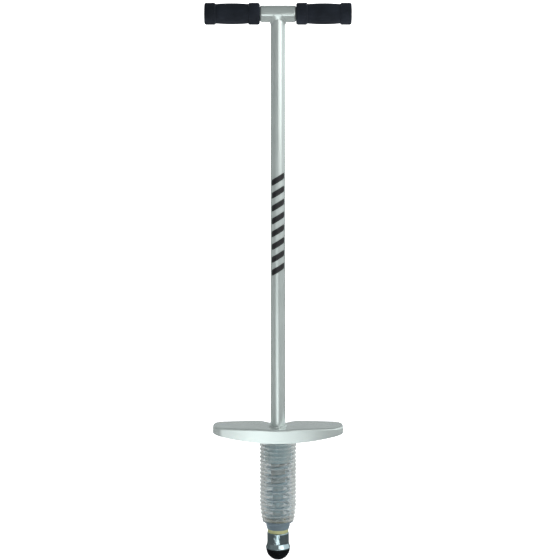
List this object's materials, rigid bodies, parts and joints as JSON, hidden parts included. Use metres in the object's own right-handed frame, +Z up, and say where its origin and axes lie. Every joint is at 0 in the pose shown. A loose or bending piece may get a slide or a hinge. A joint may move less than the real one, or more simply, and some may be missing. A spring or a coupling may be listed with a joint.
{
  "type": "pogo stick",
  "caption": "Child's spring pogo stick: T handlebar with foam grips, steel column, pressed foot platform, bellows over a coil spring, rubber foot.",
  "frame": {"origin": "lowest point of the rubber foot, on the column's axis", "axes": "+Z up the column, X along the handlebar, +Y the way the rider faces"},
  "size_m": [0.2476, 0.073, 0.9651],
  "materials": {
    "silver_paint": "silver-grey gloss enamel over steel",
    "chrome": "bright plated steel",
    "grip_foam": "soft matt black foam with a fine cell grain",
    "spring_zinc": "blue-white zinc plated spring wire",
    "bellows_plastic": "translucent grey moulded plastic",
    "seat_yellow": "dull olive yellow moulded plastic",
    "nylon": "natural off-white nylon",
    "black_plastic": "black moulded plastic",
    "foot_rubber": "matt black moulded rubber",
    "bare_steel": "plain drawn steel, lightly oiled",
    "decal_black": "satin black print film"
  },
  "bodies": {
    "frame": {"column_tube": "silver_paint", "tee_sleeve": "silver_paint", "tee_weld_bead": "silver_paint", "handlebar_tube": "bare_steel", "left_bar_plug": "black_plastic", "right_bar_plug": "black_plastic", "left_grip": "grip_foam", "right_grip": "grip_foam", "foot_platform": "silver_paint", "platform_top_weld": "silver_paint", "spring_cup": "bare_steel", "cup_weld_bead": "bare_steel", "upper_spring_washer": "spring_zinc", "coil_spring": "spring_zinc", "bellows": "bellows_plastic", "bellows_clip": "black_plastic", "guide_bush": "nylon", "column_decal": "decal_black"},
    "plunger": {"plunger_shaft": "bare_steel", "cross_pin": "bare_steel", "piston_plug": "nylon", "foot_ferrule": "chrome", "spring_seat_ring": "seat_yellow", "bump_stop": "foot_rubber", "foot_washer": "spring_zinc", "rubber_foot": "foot_rubber", "shaft_weld_bead": "bare_steel"}
  },
  "joints": [
    {"name": "plunger_slide", "type": "slide", "parent": "frame", "child": "plunger", "axis": [0, 0, 1], "range_m": [0, 0.07], "stiffness_N_per_m": 18000, "springref_m": -0.0115, "deforming": ["coil_spring", "bellows"]}
  ]
}
